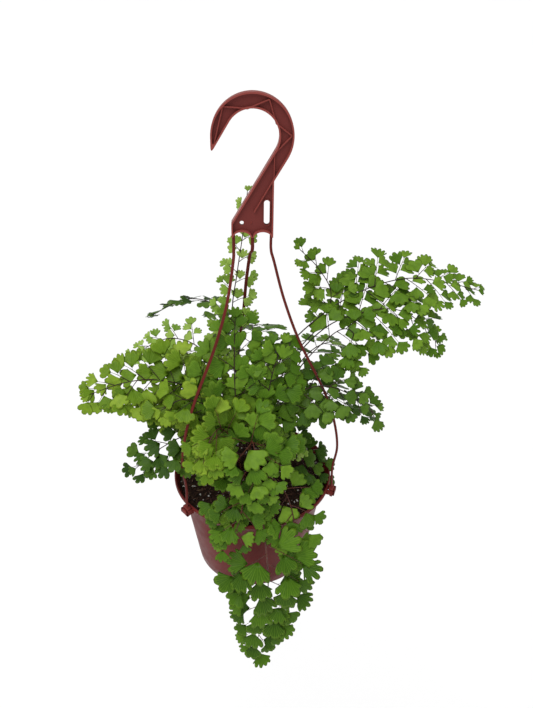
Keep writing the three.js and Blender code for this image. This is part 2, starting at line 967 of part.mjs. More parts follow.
// Outline of a spray lying flat: its stem along +Y from the origin, fan-shaped leaflets on both sides in
// turn, and one fan at its end.
function sprayShape(length, size) {
  const count = Math.max(1, Math.round(length / (LEAFLET_SPACING * size)));
  const right = [new THREE.Vector2(SPRAY_HALF_WIDTH, 0)];
  const left = [new THREE.Vector2(-SPRAY_HALF_WIDTH, 0)];
  const pitch = length / count;
  for (let i = 1; i < count; i++) {
    const y = pitch * i;
    const out = i % 2 ? size : -size;
    const side = i % 2 ? right : left;
    side.push(new THREE.Vector2(0.1 * out, y));
    side.push(new THREE.Vector2(0.85 * out, y + 0.05 * size));
    side.push(new THREE.Vector2(0.65 * out, y + 0.9 * pitch));
  }
  for (const [side, out] of [[right, size], [left, -size]]) {
    if (count > 1) side.push(new THREE.Vector2(0.08 * out, length));
    side.push(new THREE.Vector2(0.5 * out, length + 0.45 * size));
    side.push(new THREE.Vector2(0.25 * out, length + 0.9 * size));
  }
  return new THREE.Shape([...right, ...left.reverse()]);
}

// A flat spray as a thin sheet that starts at a foot, grows along one direction and faces another.
function spraySheet(foot, along, face, length, size, thickness) {
  const shape = sprayShape(length, size);
  const sheet = new THREE.ExtrudeGeometry(shape, { depth: thickness, bevelEnabled: false });
  sheet.translate(0, 0, -thickness / 2);
  const right = along.clone().cross(face);
  return solid(sheet.applyMatrix4(new THREE.Matrix4().makeBasis(right, along, face).setPosition(foot)));
}

// A spray on its stalk, turned, tipped or shortened where it needs to be.
function placeSpray(frond, curve, { at, angle, length }) {
  const foot = onRod(curve, STALK_STEPS, at);
  const stalkWay = curve.getTangentAt(at);
  const face = squared(vec(...frond.face).normalize(), stalkWay);
  const side = stalkWay.clone().cross(face);
  const ways = SPRAY_SIZES.flatMap((share) =>
    SPRAY_TILTS.flatMap((tilt) => SPRAY_TURNS.map((turn) => ({ share, tilt, turn }))),
  );
  const make = ({ share, tilt, turn }, swell) => {
    const swing = radians(angle + turn);
    const flat = stalkWay.clone().multiplyScalar(Math.cos(swing)).addScaledVector(side, Math.sin(swing));
    const right = flat.clone().cross(face);
    const dip = Math.asin(THREE.MathUtils.clamp(-frond.droop * face.z, -1, 1)) + radians(tilt);
    const along = flat.clone().applyAxisAngle(right, dip);
    const look = face.clone().applyAxisAngle(right, dip);
    const thickness = LEAFLET_THICKNESS + 2 * swell;
    return spraySheet(foot, along, look, share * length, share * frond.leaflet, thickness);
  };
  return placeFirstClear(ways, make, `${frond.name} spray`, frond.name);
}

function placeStalk(frond) {
  const make = (turn, swell) =>
    rod(smoothCurve(stalkPoints(frond, turn)), polygonShape(3, STALK_RADIUS + swell), STALK_STEPS);
  const turn = STALK_TURNS.find((choice) => isClear(make(choice, CLEARANCE), frond.name)) ?? 0;
  const stalk = place(make(turn, 0), frond.name);
  return { frond, stalk, curve: smoothCurve(stalkPoints(frond, turn)) };
}

function growBlade({ frond, stalk, curve }) {
  const end = { at: 0.99, angle: 0, length: 0 };
  const sprays = [...spraysOf(frond), end].map((spray) => placeSpray(frond, curve, spray));
  return joined([stalk, ...sprays.filter((spray) => spray !== null)]);
}

// ---------------------------------------------------------------- assembly

const model = new THREE.Group();
const assembly = new THREE.Group();
assembly.position.z = -BEARING_HEIGHT;
model.add(assembly);

assembly.add(meshOf("pot", place(pot(), "pot"), plastic(0x6b2a28)));
assembly.add(meshOf("hanger", place(hanger(), "hanger"), plastic(0x74302a)));
assembly.add(meshOf("soil", place(soil(), "soil"), living(0x2b1d18)));
assembly.add(meshOf("crown", place(crown(), "crown"), living(0x3a2418)));

// Every stalk comes before any blade, so that leaflets make way for stalks.
for (const grown of FRONDS.map(placeStalk)) {
  assembly.add(meshOf(grown.frond.name, growBlade(grown), living(LEAF_COLOURS[grown.frond.tone])));
}

export default model;
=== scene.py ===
"""A maidenhair fern in a hanging maroon pot: the looks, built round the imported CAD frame.

Lengths are metres. Everything is drawn round the centre of the pot's rim and then lowered, as the frame's
origin is the inside top of the hook.
"""

import math
import random

import bmesh
import bpy
from mathutils import Matrix, Vector, noise
from mathutils.geometry import tessellate_polygon


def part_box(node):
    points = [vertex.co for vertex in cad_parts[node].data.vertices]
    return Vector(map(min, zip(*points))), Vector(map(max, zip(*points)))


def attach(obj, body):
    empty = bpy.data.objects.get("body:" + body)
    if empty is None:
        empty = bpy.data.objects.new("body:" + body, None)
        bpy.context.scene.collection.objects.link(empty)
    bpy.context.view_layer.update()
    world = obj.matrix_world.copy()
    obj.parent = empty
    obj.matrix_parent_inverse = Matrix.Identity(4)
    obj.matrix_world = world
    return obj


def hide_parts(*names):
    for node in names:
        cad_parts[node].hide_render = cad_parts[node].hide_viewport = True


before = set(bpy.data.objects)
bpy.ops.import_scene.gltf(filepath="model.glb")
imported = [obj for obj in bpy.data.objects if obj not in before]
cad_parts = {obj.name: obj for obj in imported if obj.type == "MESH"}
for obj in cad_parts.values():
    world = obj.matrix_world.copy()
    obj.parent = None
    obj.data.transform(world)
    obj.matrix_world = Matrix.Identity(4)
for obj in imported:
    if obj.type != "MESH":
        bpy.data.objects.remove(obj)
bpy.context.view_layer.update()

MM = 0.001

# ------------------------------------------------------------------ sizes
# The rim's height and the pot's come from the frame. The others repeat the part's source, except that the
# lugs, the clips' stops, the hook's rails and ribs and the slot's border are slimmer here.

POT_LOW, POT_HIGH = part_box("pot")
RIM_Z = POT_HIGH.z
POT_HEIGHT = POT_HIGH.z - POT_LOW.z
RIM_RADIUS = 75 * MM
POT_WALL = 1.8 * MM
LIP_HEIGHT = 3 * MM
SHOULDER_DROP = 13 * MM
SHOULDER_RADIUS = 67.5 * MM
BASE_RADIUS = 54 * MM
FOOT_WIDTH = 4 * MM
FOOT_HEIGHT = 2 * MM
FOOT_CORNER = 1.0 * MM
POT_SEGMENTS = 160
WALL_RINGS = 8

LEG_AZIMUTHS = (-18.75, -138.75, 101.25)
LUG_WIDTH = 9.6 * MM
LUG_REACH = 6.8 * MM
LUG_HEIGHT = 4.4 * MM
LUG_TOP_DROP = 1.5 * MM
LUG_SLOT = 4.6 * MM
LUG_LIP_GAP = 1.8 * MM
LUG_EASE = 0.4 * MM
CLIP_RADIUS = RIM_RADIUS + 3.2 * MM
CLIP_GAP = 0.3 * MM
CLIP_TOP = -LUG_TOP_DROP + CLIP_GAP
CLIP_FOOT = -LUG_TOP_DROP - LUG_HEIGHT - CLIP_GAP
# A clip's stop, stem, barb and tip: depth, width, height, height of the middle and eased edge.
CLIP_BLOCKS = (
    (4 * MM, 7.6 * MM, 2.4 * MM, CLIP_TOP + 1.2 * MM, 0.7 * MM),
    (3 * MM, 4 * MM, CLIP_TOP - CLIP_FOOT + 2 * MM, (CLIP_TOP + CLIP_FOOT) / 2, 0.4 * MM),
    (3 * MM, 5.6 * MM, 1.6 * MM, CLIP_FOOT - 0.8 * MM, 0.4 * MM),
    (2.6 * MM, 3.2 * MM, 3 * MM, CLIP_FOOT - 2.6 * MM, 0.5 * MM),
)

HANGER_RISE = 238 * MM
PLATE_WIDTH = 32.5 * MM
PLATE_DEPTH = 8 * MM
HOOK_INNER_RADIUS = 19.4 * MM
HOOK_CENTRE = -RIM_Z - HOOK_INNER_RADIUS
HOOK_BAND = 11 * MM
HOOK_STEPS = 48
FLANGE = 1.8 * MM
RAIL = 1.25 * MM
RAIL_EASE = 0.35 * MM
WEB = 2.4 * MM
WEB_INSET = 0.3 * MM
WEB_EASE = 0.15 * MM
NECK_ANGLE = -31
TIP_ANGLE = 148
TIP_CUT = 5 * MM
TIP_STEPS = 6
ARCH_POST = 1.4 * MM
ARCH_HEIGHT = 4.5 * MM
ARCH_DROP = 1 * MM
ARCH_STEPS = 80
SLOT_X = PLATE_WIDTH / 2 - FLANGE - 3.4 * MM
SLOT_LOW, SLOT_HIGH = HANGER_RISE + 10.5 * MM, HANGER_RISE + 26 * MM
SLOT_RADIUS = 2.2 * MM
SLOT_END_STEPS = 12
COLLAR_RADIUS = 3 * MM
COLLAR_DEPTH = 4.4 * MM
COLLAR_EASE = 0.25 * MM
HOLE_AT = (-PLATE_WIDTH / 4, HANGER_RISE + 10 * MM)
HOLE_RADIUS = 1.7 * MM
HOLE_CORNERS = 24
RIB_WIDTH = 0.85 * MM
RIB_DEPTH = PLATE_DEPTH - 1 * MM
RIB_EASE = 0.2 * MM
# Rib ends on the hook, millimetres right of its axis and above the rim.
RIB_CHAINS = (
    ((-27.6, 308), (-20.9, 333.6), (-3.4, 332), (12, 338.3), (17, 322), (28.7, 313.4), (16.2, 301),
     (16.2, 282)),
    ((15.2, 280.5), (1.4, 257)),
)
NUB_AT = Vector((-0.9 * MM, 0, HANGER_RISE + 10 * MM))
# The round nub's depth and radius, in millimetres.
NUB_PROFILE = ((-1.8, 0.35), (-1.65, 0.7), (-1.2, 0.85), (1.2, 0.85), (1.65, 0.7), (1.8, 0.35))

# A leg's rise and reach, as shares of the hanger's rise and of the clip's radius.
LEG_BOW = ((0.1, 0.99), (0.21, 1.025), (0.34, 0.95), (0.46, 0.805), (0.63, 0.53), (0.78, 0.35))
LEG_LAST_BOW = (0.87, 0.27)
LEG_STRAIGHT = 12 * MM
LEG_ROOT = 3 * MM
LEG_RADIUS = 1.45 * MM
LEG_FLATNESS = 0.74
LEG_STEPS = 72
LEG_X = PLATE_WIDTH / 2 - 1.5 * MM

SOIL_TOP = -4 * MM
SOIL_FALL = 3 * MM
CROWN_RADIUS = 24 * MM
CROWN_HEIGHT = 6 * MM
SOIL_RADIUS = SHOULDER_RADIUS + 3.2 * MM
SOIL_BOTTOM = -POT_HEIGHT + FOOT_HEIGHT + 2.4 * MM
SOIL_GAP = 0.3 * MM
SOIL_RINGS, SOIL_SEGMENTS = 44, 150
LUMP_SCALE = 90
LUMP_HEIGHT = 1.3 * MM
CHIPS = 2600
GRAINS = 280
CROWN_SCALES = 420
GOLDEN_TURN = 2.399963

UP = Vector((0, 0, 1))


# ------------------------------------------------------------------ node helpers

class Nodes:
    """A material's node tree, with short calls for the nodes used here."""

    def __init__(self, name, roughness, **sockets):
        self.material = bpy.data.materials.new(name)
        self.material.use_nodes = True
        self.tree = self.material.node_tree
        self.shader = self.tree.nodes["Principled BSDF"]
        self.shader.inputs["Roughness"].default_value = roughness
        for socket, value in sockets.items():
            self.shader.inputs[socket.replace("_", " ")].default_value = value

    def add(self, kind, **settings):
        node = self.tree.nodes.new(kind)
        for key, value in settings.items():
            setattr(node, key, value)
        return node

    def link(self, source, target):
        self.tree.links.new(source, target)

    def place(self):
        """Object coordinates: the object's own metres, the same in every view."""
        return self.add("ShaderNodeTexCoord").outputs["Object"]

    def noise(self, scale, detail, roughness=0.55):
        node = self.add("ShaderNodeTexNoise")
        node.inputs["Scale"].default_value = scale
        node.inputs["Detail"].default_value = detail
        node.inputs["Roughness"].default_value = roughness
        self.link(self.place(), node.inputs["Vector"])
        return node.outputs["Fac"]

    def ramp(self, factor, *stops):
        node = self.add("ShaderNodeValToRGB")
        elements = node.color_ramp.elements
        while len(elements) < len(stops):
            elements.new(0.5)
        for element, (position, colour) in zip(elements, stops):
            element.position = position
            element.color = (*colour, 1)
        self.link(factor, node.inputs["Fac"])
        return node.outputs["Color"]

    def math(self, operation, first, second=None):
        node = self.add("ShaderNodeMath", operation=operation)
        for socket, value in zip(node.inputs, (first, second)):
            if value is None:
                continue
            if isinstance(value, (int, float)):
                socket.default_value = value
            else:
                self.link(value, socket)
        return node.outputs["Value"]

    def fit(self, value, low, high, to_low=0.0, to_high=1.0):
        node = self.add("ShaderNodeMapRange", interpolation_type="SMOOTHSTEP")
        limits = {"From Min": low, "From Max": high, "To Min": to_low, "To Max": to_high}
        for socket, number in limits.items():
            node.inputs[socket].default_value = number
        self.link(value, node.inputs["Value"])
        return node.outputs["Result"]

    def mix(self, factor, first, second):
        node = self.add("ShaderNodeMix", data_type="RGBA")
        self.link(factor, node.inputs["Factor"])
        for socket, value in ((node.inputs["A"], first), (node.inputs["B"], second)):
            if isinstance(value, tuple):
                socket.default_value = (*value, 1)
            else:
                self.link(value, socket)
        return node.outputs["Result"]

    def attribute(self, name):
        return self.add("ShaderNodeAttribute", attribute_name=name).outputs["Fac"]

    def colour(self, value):
        self.link(value, self.shader.inputs["Base Color"])

    def rough(self, value):
        self.link(value, self.shader.inputs["Roughness"])

    def bump(self, height, strength, distance):
        node = self.add("ShaderNodeBump")
        node.inputs["Strength"].default_value = strength
        node.inputs["Distance"].default_value = distance
        self.link(height, node.inputs["Height"])
        self.link(node.outputs["Normal"], self.shader.inputs["Normal"])


# ------------------------------------------------------------------ materials

def maroon_plastic(name, dark, light):
    """Moulded maroon polypropylene: slight flow mottling, fine grain, and a painted highlight that lightens
    its sharper edges.
    """
    m = Nodes(name, 0.4, Specular_IOR_Level=0.07)
    cloud = m.noise(22, 5)
    base = m.ramp(cloud, (0.3, dark), (0.7, light))
    # Painted highlight: sharp edges are lightened, standing in for light grazing them.
    edge = m.fit(m.add("ShaderNodeNewGeometry").outputs["Pointiness"], 0.53, 0.6)
    edge_highlight = tuple(min(1, c * 1.7 + 0.02) for c in light)
    m.colour(m.mix(m.math("MULTIPLY", edge, 0.6), base, edge_highlight))
    m.rough(m.fit(m.noise(60, 6), 0.3, 0.7, 0.33, 0.5))
    m.bump(m.noise(900, 3), 0.12, 0.0002)
    return m.material


VEINS = 7


def leaf(name, deep, body, light):
    """A fern leaflet: colour from leaflet to leaflet, fan veins that fork outwards and a paler margin."""
    m = Nodes(name, 0.42, Specular_IOR_Level=0.12)
    uv = m.add("ShaderNodeSeparateXYZ")
    m.link(m.add("ShaderNodeUVMap", uv_map="fan").outputs["UV"], uv.inputs["Vector"])
    across, out = uv.outputs["X"], uv.outputs["Y"]
    # The tint carries each leaflet's random tone and its frond's painted light and shade.
    tinted = m.ramp(m.attribute("tint"), (0.0, deep), (0.5, body), (1.0, light))
    mottled = m.mix(m.fit(m.noise(190, 4), 0.35, 0.7, 0.0, 0.35), tinted, deep)

    def lines(count, width):
        wave = m.math("ABSOLUTE", m.math("SINE", m.math("MULTIPLY", across, math.pi * count)))
        return m.fit(wave, 0.0, width, 1.0, 0.0)

    forks = m.math("MULTIPLY", lines(2 * VEINS, 0.4), m.fit(out, 0.45, 0.6))
    veins = m.math("MAXIMUM", lines(VEINS, 0.3), forks)
    faded = m.math("MULTIPLY", veins, m.fit(out, 0.02, 0.2, 0.15, 0.6))
    veined = m.mix(faded, mottled, light)
    margin = m.math("MULTIPLY", m.fit(out, 0.78, 1.0), 0.55)
    m.colour(m.mix(margin, veined, light))
    m.rough(m.fit(m.noise(120, 3), 0.3, 0.7, 0.36, 0.52))
    relief = m.math("ADD", m.math("MULTIPLY", veins, 0.7), m.math("MULTIPLY", m.noise(420, 3), 0.5))
    m.bump(relief, 0.35, 0.0003)
    return m.material


def stalk_material(name, dark, light):
    m = Nodes(name, 0.3, Specular_IOR_Level=0.2)
    m.colour(m.ramp(m.noise(60, 3), (0.35, dark), (0.75, light)))
    m.rough(m.fit(m.noise(200, 3), 0.3, 0.7, 0.24, 0.42))
    m.bump(m.noise(800, 2), 0.2, 0.0001)
    return m.material


def soil_material():
    m = Nodes("soil_peat", 0.95, Specular_IOR_Level=0.15)
    peat = ((0.3, (0.006, 0.004, 0.003)), (0.55, (0.03, 0.014, 0.009)), (0.8, (0.09, 0.042, 0.026)))
    m.colour(m.ramp(m.noise(330, 8, 0.7), *peat))
    m.bump(m.noise(520, 8, 0.7), 0.9, 0.0012)
    return m.material


def grain_material(name, *colours):
    """Loose bits, each its own colour by its tint."""
    m = Nodes(name, 0.88, Specular_IOR_Level=0.2)
    stops = [(i / (len(colours) - 1), colour) for i, colour in enumerate(colours)]
    tinted = m.ramp(m.attribute("tint"), *stops)
    shade = tuple(c * 0.5 for c in colours[0])
    m.colour(m.mix(m.fit(m.noise(900, 4), 0.3, 0.7, 0.0, 0.5), tinted, shade))
    m.bump(m.noise(1400, 5, 0.6), 0.6, 0.0004)
    return m.material


MATERIALS = {
    "pot": maroon_plastic("pot_maroon", (0.095, 0.011, 0.009), (0.135, 0.016, 0.013)),
    "hanger": maroon_plastic("hanger_maroon", (0.09, 0.014, 0.011), (0.14, 0.02, 0.016)),
    # Painted shade: the hook's recessed web is a darker copy of the hanger's maroon.
    "web": maroon_plastic("hanger_web_painted_shade", (0.07, 0.01, 0.008), (0.105, 0.015, 0.012)),
    # Painted highlight: the rails, ribs, nub and slot's border are a lighter copy of the hanger's maroon.
    "ridge": maroon_plastic("hanger_ridge_painted_highlight", (0.125, 0.021, 0.017), (0.18, 0.034, 0.027)),
    # Painted light and shade: leaf_bright and leaf_dark are lit and shaded copies of leaf_mid's green;
    # leaf_pale is the paler green of young fronds.
    "bright": leaf("leaf_bright", (0.042, 0.1, 0.004), (0.11, 0.21, 0.008), (0.25, 0.37, 0.03)),
    "mid": leaf("leaf_mid", (0.023, 0.065, 0.003), (0.058, 0.14, 0.005), (0.15, 0.27, 0.02)),
    "dark": leaf("leaf_dark", (0.011, 0.038, 0.003), (0.033, 0.085, 0.005), (0.1, 0.19, 0.018)),
    "pale": leaf("leaf_pale", (0.13, 0.25, 0.025), (0.21, 0.35, 0.045), (0.36, 0.5, 0.11)),
    "stalk": stalk_material("stalk_black", (0.012, 0.006, 0.007), (0.045, 0.016, 0.014)),
    "stalk_red": stalk_material("stalk_red", (0.05, 0.014, 0.01), (0.12, 0.04, 0.022)),
    "soil": soil_material(),
    "chips": grain_material("soil_coir", (0.014, 0.008, 0.006), (0.07, 0.03, 0.02), (0.17, 0.08, 0.05),
                            (0.3, 0.18, 0.12)),
    "perlite": grain_material("soil_perlite", (0.45, 0.42, 0.38), (0.8, 0.79, 0.76)),
    "crown": grain_material("crown_scales", (0.02, 0.008, 0.005), (0.07, 0.028, 0.015), (0.16, 0.075, 0.035)),
}


# ------------------------------------------------------------------ mesh helpers

class Builder:
    """Collects vertices, faces, a fan UV and a tint, and makes one mesh object of them."""

    def __init__(self):
        self.points = []
        self.faces = []
        self.uv = []
        self.tint = []

    def add(self, points, faces, tint=0.5, uv=None):
        start = len(self.points)
        self.points.extend(points)
        self.faces.extend([tuple(start + i for i in face) for face in faces])
        self.uv.extend(uv or [(0.5, 0.0)] * len(points))
        self.tint.extend([tint] * len(points))

    def make(self, name, material, smooth=True):
        mesh = bpy.data.meshes.new(name)
        mesh.from_pydata([p + Vector((0, 0, RIM_Z)) for p in self.points], [], self.faces)
        fan = mesh.uv_layers.new(name="fan")
        for loop in mesh.loops:
            fan.data[loop.index].uv = self.uv[loop.vertex_index]
        tint = mesh.attributes.new("tint", "FLOAT", "POINT")
        tint.data.foreach_set("value", self.tint)
        mesh.materials.append(MATERIALS[material])
        mesh.shade_smooth() if smooth else mesh.shade_flat()
        mesh.validate()
        obj = bpy.data.objects.new(name, mesh)
        bpy.context.scene.collection.objects.link(obj)
        return obj

    def tube(self, path, radii, sides, flat=1.0, start_side=None, tint=0.5):
        """A closed tube along points; flat squashes it across its second direction."""
        points, faces = [], []
        side = start_side or (path[1] - path[0]).orthogonal()
        for i, here in enumerate(path):
            along = (path[min(i + 1, len(path) - 1)] - path[max(i - 1, 0)]).normalized()
            side = (side - along * side.dot(along)).normalized()
            other = along.cross(side)
            radius = radii[i] if isinstance(radii, (list, tuple)) else radii
            for k in range(sides):
                angle = 2 * math.pi * k / sides
                points.append(here + side * math.cos(angle) * radius
                              + other * math.sin(angle) * radius * flat)
        for i in range(len(path) - 1):
            for k in range(sides):
                a, b = i * sides + k, i * sides + (k + 1) % sides
                faces.append((a, b, b + sides, a + sides))
        faces.append(tuple(reversed(range(sides))))
        faces.append(tuple(range(len(points) - sides, len(points))))
        self.add(points, faces, tint)

    def lathe(self, profile, segments):
        """A profile of (radius, z) from the axis back to the axis, turned about Z."""
        points, faces, rings = [], [], []
        for r, z in profile:
            if r < 1e-9:
                rings.append([len(points)] * segments)
                points.append(Vector((0, 0, z)))
                continue
            rings.append(list(range(len(points), len(points) + segments)))
            for k in range(segments):
                angle = 2 * math.pi * k / segments
                points.append(Vector((r * math.cos(angle), r * math.sin(angle), z)))
        for low, high in zip(rings, rings[1:]):
            for k in range(segments):
                n = (k + 1) % segments
                face = []
                for index in (low[k], low[n], high[n], high[k]):
                    if index not in face:
                        face.append(index)
                if len(face) > 2:
                    faces.append(tuple(face))
        self.add(points, faces)

    def rounded_box(self, size, centre, turn, bevel):
        """A box with one bevel step, its own X along azimuth turn."""
        mesh = bmesh.new()
        bmesh.ops.create_cube(mesh, size=1)
        bmesh.ops.scale(mesh, vec=size, verts=mesh.verts)
        bmesh.ops.bevel(mesh, geom=mesh.edges[:], offset=bevel, segments=2, profile=0.5, affect="EDGES")
        spin = Matrix.Rotation(turn, 3, "Z")
        mesh.verts.index_update()
        points = [spin @ (v.co + Vector(centre)) for v in mesh.verts]
        faces = [tuple(v.index for v in f.verts) for f in mesh.faces]
        self.add(points, faces)
        mesh.free()


def on_circle(centre, radius, degrees):
    angle = math.radians(degrees)
    return centre[0] + radius * math.cos(angle), centre[1] + radius * math.sin(angle)


def arc(centre, radius, start, end, steps):
    """Points on a circle in a plane, from one angle to another in degrees."""
    return [on_circle(centre, radius, start + (end - start) * i / steps) for i in range(steps + 1)]


def flat_outline(outlines, depth, bevel):
    """Closed outlines in X and Z, the later ones holes in the first, with a depth along Y and eased edges."""
    corners = [Vector((x, z, 0)) for outline in outlines for x, z in outline]
    loops = [[Vector((x, z, 0)) for x, z in outline] for outline in outlines]
    triangles = tessellate_polygon(loops)
    mesh = bmesh.new()
    front = [mesh.verts.new((p.x, -depth / 2, p.y)) for p in corners]
    back = [mesh.verts.new((p.x, depth / 2, p.y)) for p in corners]
    for a, b, c in triangles:
        mesh.faces.new((front[a], front[b], front[c]))
        mesh.faces.new((back[c], back[b], back[a]))
    start = 0
    for outline in outlines:
        count = len(outline)
        for k in range(count):
            a, b = start + k, start + (k + 1) % count
            mesh.faces.new((front[a], back[a], back[b], front[b]))
        start += count
    bmesh.ops.recalc_face_normals(mesh, faces=mesh.faces[:])
    rims = [e for e in mesh.edges if len(e.link_faces) == 2 and e.calc_face_angle(0) > math.radians(60)
            and abs(e.verts[0].co.y - e.verts[1].co.y) < 1e-7]
    bmesh.ops.bevel(mesh, geom=rims, offset=bevel, segments=2, profile=0.5, affect="EDGES",
                    clamp_overlap=True)
    mesh.verts.index_update()
    points = [v.co.copy() for v in mesh.verts]
    faces = [tuple(v.index for v in f.verts) for f in mesh.faces]
    mesh.free()
    return points, faces


def finish_piece(obj, slot, *nodes):
    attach(obj, "root")
    if nodes:
        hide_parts(*nodes)
    return obj


def auto_smooth(obj, degrees):
    """Smooth faces with sharp edges kept where the surface really turns."""
    mesh = obj.data
    mesh.shade_smooth()
    mesh.set_sharp_from_angle(angle=math.radians(degrees))


# ------------------------------------------------------------------ pot

def pot_outside(z):
    taper = (SHOULDER_RADIUS - BASE_RADIUS) / (POT_HEIGHT - SHOULDER_DROP)
    if z <= -SHOULDER_DROP:
        return SHOULDER_RADIUS + (z + SHOULDER_DROP) * taper
    flare = (RIM_RADIUS - SHOULDER_RADIUS) / (SHOULDER_DROP - LIP_HEIGHT)
    return min(RIM_RADIUS, SHOULDER_RADIUS + (z + SHOULDER_DROP) * flare)


def make_pot():
    pot = Builder()
    floor = -POT_HEIGHT + FOOT_HEIGHT
    lip = LIP_HEIGHT / 2
    # The underside and the foot, up the outside, over the lip with its eased edges, and down the inside.
    profile = [(0, floor), (BASE_RADIUS - FOOT_WIDTH, floor), (BASE_RADIUS - FOOT_WIDTH, -POT_HEIGHT)]
    profile += [(BASE_RADIUS - FOOT_CORNER, -POT_HEIGHT), (BASE_RADIUS, -POT_HEIGHT + FOOT_CORNER)]
    for i in range(1, WALL_RINGS + 1):
        z = -POT_HEIGHT + (POT_HEIGHT - SHOULDER_DROP) * i / WALL_RINGS
        profile.append((pot_outside(z), z))
    profile += [(pot_outside(-6 * MM), -6 * MM), (RIM_RADIUS - 0.3 * MM, -LIP_HEIGHT - 0.3 * MM)]
    profile += [(RIM_RADIUS, -LIP_HEIGHT), (RIM_RADIUS, -0.6 * MM), (RIM_RADIUS - 0.5 * MM, 0)]
    profile += [(RIM_RADIUS - POT_WALL + 0.4 * MM, 0), (RIM_RADIUS - POT_WALL, -0.5 * MM)]
    profile += [(RIM_RADIUS - POT_WALL, -lip - 1.5 * MM), (SHOULDER_RADIUS - POT_WALL, -SHOULDER_DROP)]
    profile += [(BASE_RADIUS - POT_WALL, floor + POT_WALL), (0, floor + POT_WALL)]
    pot.lathe(profile, POT_SEGMENTS)
    obj = pot.make("pot_shell", "pot")
    auto_smooth(obj, 40)
    lugs = Builder()
    inner = RIM_RADIUS - POT_WALL / 2
    depth = RIM_RADIUS + LUG_REACH - inner
    middle = -LUG_TOP_DROP - LUG_HEIGHT / 2
    for azimuth in LEG_AZIMUTHS:
        turn = math.radians(azimuth)
        wall = (LUG_WIDTH - LUG_SLOT) / 2
        for sign in (-1, 1):
            across = sign * (LUG_WIDTH - wall) / 2
            lugs.rounded_box((depth, wall, LUG_HEIGHT), (inner + depth / 2, across, middle), turn, LUG_EASE)
        lip_depth = RIM_RADIUS + LUG_REACH - CLIP_RADIUS - LUG_LIP_GAP
        lugs.rounded_box((lip_depth, LUG_WIDTH, LUG_HEIGHT),
                         (RIM_RADIUS + LUG_REACH - lip_depth / 2, 0, middle), turn, LUG_EASE)
    lug_obj = lugs.make("pot_lugs", "pot")
    auto_smooth(lug_obj, 35)
    finish_piece(obj, "pot_plastic", "pot")
    finish_piece(lug_obj, "pot_plastic", "pot")


# ------------------------------------------------------------------ hanger

def hook_outline(inset):
    """Outline from the plate's right side over the hook to the plate's left side, inset from its edges."""
    inner = HOOK_INNER_RADIUS + inset
    outer = HOOK_INNER_RADIUS + HOOK_BAND - inset
    side = PLATE_WIDTH / 2 - inset
    centre = (0, HOOK_CENTRE)

    def tangent_at(radius, degrees, x):
        angle = math.radians(degrees)
        return HOOK_CENTRE + radius * math.sin(angle) - (x - radius * math.cos(angle)) / math.tan(angle)

    tip_x = -(HOOK_INNER_RADIUS + HOOK_BAND) + inset
    tip = Vector((tip_x, tangent_at(inner, TIP_ANGLE, tip_x)))
    start = Vector(on_circle(centre, inner, TIP_ANGLE))
    tip_inside = tip + (start - tip).normalized() * TIP_CUT
    tip_outside = Vector((tip.x, tip.y + TIP_CUT))
    points = [(side, tangent_at(outer, NECK_ANGLE, side))]
    points += arc(centre, outer, NECK_ANGLE, 180, HOOK_STEPS)
    for i in range(TIP_STEPS + 1):
        t = i / TIP_STEPS
        points.append(tuple((1 - t) ** 2 * tip_outside + 2 * t * (1 - t) * tip + t * t * tip_inside))
    points += arc(centre, inner, TIP_ANGLE, NECK_ANGLE, HOOK_STEPS)
    points.append((-side, tangent_at(inner, NECK_ANGLE, -side)))
    return points


def slot_outline(radius):
    """The label slot's outline, or with a larger radius its border's."""
    return (arc((SLOT_X, SLOT_HIGH), radius, 0, 180, SLOT_END_STEPS)
            + arc((SLOT_X, SLOT_LOW), radius, 180, 360, SLOT_END_STEPS))


def hook_with_arches(inset):
    """The hook's outline with the two arches between the legs cut into the plate's lower edge."""
    half, quarter = PLATE_WIDTH / 2 - inset, PLATE_WIDTH / 4
    width, height = quarter - ARCH_POST + inset, ARCH_HEIGHT + inset
    edge = []
    for i in range(ARCH_STEPS + 1):
        x = -half + 2 * half * i / ARCH_STEPS
        share = (abs(x) - quarter) / width
        edge.append((x, HANGER_RISE - ARCH_DROP + height * math.sqrt(max(0.0, 1 - share * share))))
    return edge + hook_outline(inset)


def rib_box(builder, start, end):
    (x0, z0), (x1, z1) = start, end
    length = math.hypot(x1 - x0, z1 - z0)
    ax, az = (x1 - x0) / length, (z1 - z0) / length
    nx, nz = -az * RIB_WIDTH / 2, ax * RIB_WIDTH / 2
    outline = [(x0 - nx, z0 - nz), (x1 - nx, z1 - nz), (x1 + nx, z1 + nz), (x0 + nx, z0 + nz)]
    builder.add(*flat_outline([outline], RIB_DEPTH, RIB_EASE))


def leg_path(azimuth, plate_x):
    """A leg's centreline, from its clip up to the plate."""
    angle = math.radians(azimuth)

    def at(rise, out):
        return Vector((out * math.cos(angle), out * math.sin(angle), rise))

    points = [at(0, CLIP_RADIUS)]
    points += [at(rise * HANGER_RISE, out * CLIP_RADIUS) for rise, out in LEG_BOW]
    under = Vector((plate_x, 0, HANGER_RISE - LEG_STRAIGHT))
    rise, out = LEG_LAST_BOW
    points.append(at(rise * HANGER_RISE, out * CLIP_RADIUS).lerp(under, 0.5))
    points += [under, Vector((plate_x, 0, HANGER_RISE + LEG_ROOT))]
    return points


def plate_piece(name, material, *slabs):
    """One piece of the hook and plate, of slabs given as (outlines, depth, eased edge)."""
    piece = Builder()
    for outlines, depth, eased in slabs:
        piece.add(*flat_outline(outlines, depth, eased))
    obj = piece.make(name, material)
    auto_smooth(obj, 35)
    return finish_piece(obj, "hanger_plastic", "hanger")


